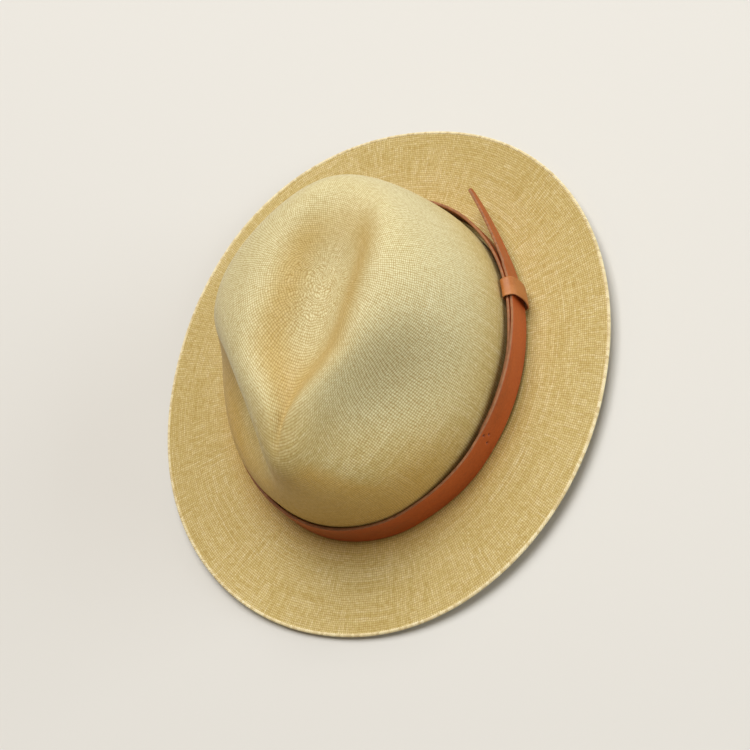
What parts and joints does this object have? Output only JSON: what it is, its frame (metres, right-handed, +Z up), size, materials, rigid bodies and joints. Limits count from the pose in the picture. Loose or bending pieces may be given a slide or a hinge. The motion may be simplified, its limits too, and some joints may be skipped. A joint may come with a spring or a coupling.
{
  "type": "panama hat",
  "caption": "Wide-brimmed woven straw hat with a creased, front-pinched crown, a leather strap hatband with keeper and free tail, and a sewn-in sweatband.",
  "frame": {"origin": "under the middle of the brim, at the level of the surface that the hat rests on", "axes": "+Z up through the crown, -Y towards the front of the brim, +X towards the wearer's left, where the keeper is"},
  "size_m": [0.278, 0.3191, 0.1135],
  "materials": {
    "straw": "fine woven toquilla straw, pale gold, satin",
    "strap_leather": "tan vegetable-tanned leather, semi-matt, pale cut edges",
    "keeper_leather": "lighter tan leather, semi-matt",
    "sweatband_leather": "thin smooth leather",
    "welt_tape": "matt cotton tape",
    "reed_plastic": "matt brown plastic cord",
    "light_thread": "cotton sewing thread",
    "dark_thread": "waxed brown thread",
    "bow_ribbon": "grosgrain ribbon"
  },
  "bodies": {
    "hat": {"straw_body": "straw", "sweatband": "sweatband_leather", "sweatband_welt": "welt_tape", "sweatband_reed": "reed_plastic", "sweatband_thread": "light_thread", "sweatband_seam_thread": "dark_thread", "sweatband_bow": "bow_ribbon"},
    "hatband": {"hatband_strap": "strap_leather", "hatband_tack_thread": "dark_thread"},
    "keeper": {"hatband_keeper": "keeper_leather"}
  },
  "joints": [
    {"name": "hatband_lift_off", "type": "slide", "parent": "hat", "child": "hatband", "axis": [0, 0, 1], "range_m": [0, 0.12]},
    {"name": "keeper_slide", "type": "hinge", "parent": "hatband", "child": "keeper", "pos_m": [-0.031, 0, 0.02], "axis": [-0.0436, 0.0314, 0.9986], "range_deg": [-16, 2]}
  ]
}
